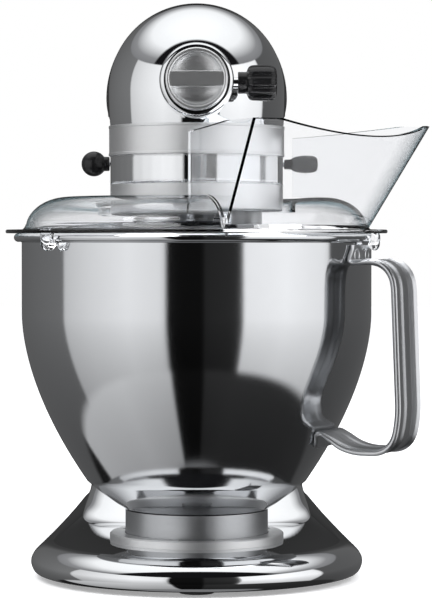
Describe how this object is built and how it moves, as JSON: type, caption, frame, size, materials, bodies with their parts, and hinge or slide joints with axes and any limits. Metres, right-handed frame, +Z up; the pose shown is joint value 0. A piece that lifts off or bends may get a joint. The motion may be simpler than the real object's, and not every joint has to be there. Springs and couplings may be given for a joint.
{
  "type": "stand mixer",
  "caption": "Tilt-head stand mixer: lock-on steel bowl with strap handle, clear pouring shield and chute, attachment hub and planetary gear drive.",
  "frame": {"origin": "on the surface the mixer stands on, below the middle of its outline", "axes": "+Z up, front of the mixer towards -Y, handle and chute towards +X"},
  "size_m": [0.2552, 0.403, 0.3533],
  "materials": {
    "chrome": "polished chrome plate, mirror bright",
    "polished_steel": "mirror-polished stainless steel with a faint turned grain",
    "satin_steel": "satin, brushed along its length",
    "handle_steel": "satin stainless steel",
    "black_plastic": "moulded black plastic, half gloss",
    "rubber": "matt black rubber",
    "clear_plastic": "clear moulded plastic, thin, glossy",
    "cast_zinc": "die-cast, machined",
    "gear_steel": "cut and oiled steel",
    "bronze": "sintered bronze",
    "lamination": "stacked sheet, varnished",
    "copper": "turned copper segments",
    "board": "matt insulating board"
  },
  "bodies": {
    "stand": {"base": "chrome", "feet": "rubber", "clamp_plate": "satin_steel", "clamp_screws": "gear_steel", "pedestal": "chrome", "pedestal_bolts": "gear_steel", "hinge_pin": "gear_steel"},
    "head": {"upper_housing": "chrome", "lower_housing": "chrome", "rear_cover": "chrome", "rear_cover_screw": "chrome", "trim_band": "satin_steel", "drip_ring": "satin_steel", "ring_gear": "gear_steel", "shaft_bush": "bronze", "bearing_bracket": "cast_zinc", "motor_field": "lamination", "rear_bracket": "cast_zinc", "motor_bearings": "bronze", "brush_holders": "copper", "brush_caps": "black_plastic", "speed_control": "board", "cord_gland": "rubber", "hub_bush": "bronze", "idler_bracket": "cast_zinc"},
    "planetary": {"planetary_carrier": "cast_zinc", "centre_shaft": "gear_steel", "centre_gear": "bronze", "centre_bevel": "gear_steel"},
    "beater_spindle": {"beater_shaft": "gear_steel", "beater_pinion": "gear_steel", "beater_pin": "gear_steel"},
    "idler": {"worm_wheel": "bronze", "idler_pinion": "gear_steel"},
    "rotor": {"motor_shaft": "gear_steel", "worm": "gear_steel", "armature_core": "lamination", "commutator": "copper", "cooling_fan": "black_plastic"},
    "hub_spindle": {"hub_drive": "gear_steel", "hub_bevel": "gear_steel"},
    "hub_cover": {"hub_cap": "chrome"},
    "attachment_knob": {"knob_screw": "chrome", "knob_grip": "black_plastic"},
    "speed_lever": {"speed_lever_rod": "chrome", "speed_lever_knob": "black_plastic"},
    "lock_lever": {"lock_lever_rod": "chrome", "lock_lever_knob": "black_plastic"},
    "bowl": {"bowl_shell": "polished_steel", "bowl_foot": "satin_steel", "bowl_handle": "handle_steel", "shield_collar": "clear_plastic"},
    "chute": {"pouring_chute": "clear_plastic"}
  },
  "joints": [
    {"name": "head_tilt", "type": "hinge", "parent": "stand", "child": "head", "pos_m": [-0.0105, 0.0965, 0.224], "axis": [-1, 0, 0], "range_deg": [0, 40]},
    {"name": "bowl_twist", "type": "hinge", "parent": "stand", "child": "bowl", "pos_m": [-0.0105, -0.0635, 0.0235], "axis": [0, 0, 1], "range_deg": [0, 30]},
    {"name": "chute_slide", "type": "slide", "parent": "bowl", "child": "chute", "axis": [0.7611, -0.6409, 0.1001], "range_m": [0, 0.06]},
    {"name": "planetary_spin", "type": "hinge", "parent": "head", "child": "planetary", "pos_m": [-0.0105, -0.0635, 0.226], "axis": [0, 0, 1], "continuous": true},
    {"name": "beater_spin", "type": "hinge", "parent": "planetary", "child": "beater_spindle", "pos_m": [0.0199, -0.0635, 0.226], "axis": [0, 0, 1], "continuous": true},
    {"name": "idler_spin", "type": "hinge", "parent": "head", "child": "idler", "pos_m": [0.01682, -0.03094, 0.28], "axis": [0, 0, 1], "continuous": true},
    {"name": "rotor_spin", "type": "hinge", "parent": "head", "child": "rotor", "pos_m": [-0.0105, 0.0365, 0.295], "axis": [0, 1, 0], "continuous": true},
    {"name": "hub_spin", "type": "hinge", "parent": "head", "child": "hub_spindle", "pos_m": [-0.0105, -0.1035, 0.297], "axis": [0, 1, 0], "continuous": true},
    {"name": "hub_cover_slide", "type": "slide", "parent": "head", "child": "hub_cover", "axis": [0, -1, 0], "range_m": [0, 0.03]},
    {"name": "attachment_knob_turn", "type": "hinge", "parent": "head", "child": "attachment_knob", "pos_m": [0.0195, -0.1335, 0.296], "axis": [1, 0, 0], "range_deg": [0, 720]},
    {"name": "speed_lever_slide", "type": "slide", "parent": "head", "child": "speed_lever", "axis": [0, 1, 0], "range_m": [0, 0.036]},
    {"name": "lock_lever_slide", "type": "slide", "parent": "head", "child": "lock_lever", "axis": [0, 1, 0], "range_m": [0, 0.014]}
  ],
  "couplings": [
    {"joint": "beater_spin", "follows": "planetary_spin", "ratio": -3.2857},
    {"joint": "idler_spin", "follows": "planetary_spin", "ratio": -3.8571},
    {"joint": "rotor_spin", "follows": "planetary_spin", "ratio": -33.429},
    {"joint": "hub_spin", "follows": "planetary_spin", "ratio": -1}
  ]
}
